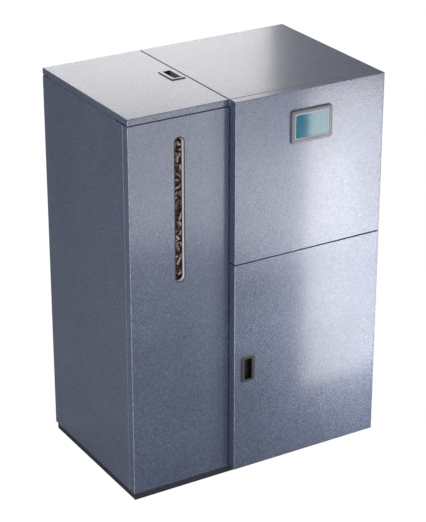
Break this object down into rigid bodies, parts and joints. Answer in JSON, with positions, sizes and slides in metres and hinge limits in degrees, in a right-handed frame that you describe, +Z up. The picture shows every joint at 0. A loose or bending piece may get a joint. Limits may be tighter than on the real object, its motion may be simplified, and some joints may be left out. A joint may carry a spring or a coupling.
{
  "type": "pellet boiler",
  "caption": "Free-standing pellet boiler: a pellet hopper with slot window and lift-up lid beside a boiler half with display door, fire door, ash pan, and flue and water stubs behind",
  "frame": {"origin": "middle of the whole object's box, on the floor", "axes": "+Z up, front towards -Y, pellet hopper towards -X"},
  "size_m": [0.9104, 0.6586, 1.303],
  "materials": {
    "casing": "fine-grained grey powder coat",
    "plinth": "dark satin paint",
    "sheet_steel": "galvanised sheet",
    "hinge_steel": "zinc plated",
    "bare_steel": "plain mill steel",
    "vessel_paint": "heat-resistant black paint",
    "cast_iron": "raw casting",
    "motor_paint": "motor enamel",
    "rubber": "matt black",
    "trim_plastic": "satin light grey",
    "pane": "clear",
    "pellets": "pressed sawdust",
    "bezel_plastic": "warm light grey",
    "screen": "teal display glass",
    "dark_plastic": "fine texture",
    "control_plastic": "light grey housing",
    "mineral_wool": "pressed mineral wool",
    "heat_board": "pressed ceramic-fibre board",
    "rope": "braided glass rope"
  },
  "bodies": {
    "cabinet": {"auger_gearmotor": "motor_paint", "auger_tube": "sheet_steel", "base_plate": "sheet_steel", "boiler_rear_panel": "casing", "boiler_vessel": "vessel_paint", "burner_air_duct": "vessel_paint", "burner_pot": "cast_iron", "cable_glands": "dark_plastic", "cleaning_actuator": "motor_paint", "control_unit": "control_plastic", "door_magnets": "dark_plastic", "draft_fan_motor": "motor_paint", "fire_door_rope": "rope", "flue_collar": "vessel_paint", "frame_hinge_leaves": "hinge_steel", "hinge_pins": "hinge_steel", "hopper_bin": "sheet_steel", "hopper_front_panel": "casing", "hopper_rear_panel": "casing", "igniter": "bare_steel", "inner_front_panel": "sheet_steel", "insulation_slabs": "mineral_wool", "left_side_panel": "casing", "levelling_feet": "rubber", "lid_hinge_fixed_leaf": "hinge_steel", "lid_hinge_pin": "hinge_steel", "lid_seal": "rubber", "main_switch": "dark_plastic", "panel_screws": "hinge_steel", "partition": "sheet_steel", "pellet_charge": "pellets", "plinth_skirt": "plinth", "right_side_panel": "casing", "smoke_box": "vessel_paint", "top_cover": "casing", "water_pipes": "bare_steel", "window_gasket": "rubber", "window_pane": "pane", "window_trim": "trim_plastic"},
    "hopper_lid": {"hopper_lid": "casing", "lid_liner": "sheet_steel", "lid_pull": "dark_plastic", "lid_hinge_leaf": "hinge_steel"},
    "upper_door": {"upper_door": "casing", "upper_door_liner": "sheet_steel", "display_bezel": "bezel_plastic", "display_screen": "screen", "display_housing": "dark_plastic", "upper_hinge_leaves": "hinge_steel"},
    "lower_door": {"lower_door": "casing", "lower_door_liner": "sheet_steel", "door_pull": "dark_plastic", "lower_hinge_leaves": "hinge_steel"},
    "fire_door": {"fire_door": "cast_iron", "fire_door_board": "heat_board"},
    "ash_pan": {"ash_pan": "bare_steel"},
    "auger": {"auger_screw": "bare_steel"},
    "draft_fan": {"draft_fan_wheel": "bare_steel"},
    "cleaning_rack": {"cleaning_rack": "bare_steel"},
    "switch_rocker": {"switch_rocker": "dark_plastic"}
  },
  "joints": [
    {"name": "lid_hinge", "type": "hinge", "parent": "cabinet", "child": "hopper_lid", "pos_m": [-0.4537, -0.00975, 1.278], "axis": [0, -1, 0], "range_deg": [0, 95]},
    {"name": "upper_door_hinge", "type": "hinge", "parent": "cabinet", "child": "upper_door", "pos_m": [0.4502, -0.29025, 1.0315], "axis": [0, 0, 1], "range_deg": [0, 115]},
    {"name": "lower_door_hinge", "type": "hinge", "parent": "cabinet", "child": "lower_door", "pos_m": [0.4502, -0.29025, 0.394], "axis": [0, 0, 1], "range_deg": [0, 105]},
    {"name": "fire_door_hinge", "type": "hinge", "parent": "cabinet", "child": "fire_door", "pos_m": [0.3708, -0.25505, 0.417], "axis": [0, 0, 1], "range_deg": [0, 105]},
    {"name": "ash_pan_slide", "type": "slide", "parent": "cabinet", "child": "ash_pan", "axis": [0, -1, 0], "range_m": [0, 0.28]},
    {"name": "auger_turn", "type": "hinge", "parent": "cabinet", "child": "auger", "pos_m": [-0.1052, -0.00975, 0.25], "axis": [1, 0, 0], "continuous": true},
    {"name": "fan_turn", "type": "hinge", "parent": "cabinet", "child": "draft_fan", "pos_m": [0.1698, 0.07125, 1.15], "axis": [0, 0, 1], "continuous": true},
    {"name": "cleaning_lift", "type": "slide", "parent": "cabinet", "child": "cleaning_rack", "axis": [0, 0, 1], "range_m": [0, 0.03]},
    {"name": "switch_rock", "type": "hinge", "parent": "cabinet", "child": "switch_rocker", "pos_m": [0.4048, 0.26955, 1.12], "axis": [-1, 0, 0], "range_deg": [0, 20]}
  ],
  "couplings": [
    {"joint": "fire_door_hinge", "follows": "lower_door_hinge", "ratio": 1},
    {"joint": "ash_pan_slide", "follows": "lower_door_hinge", "m_per_rad": 0.1527}
  ]
}
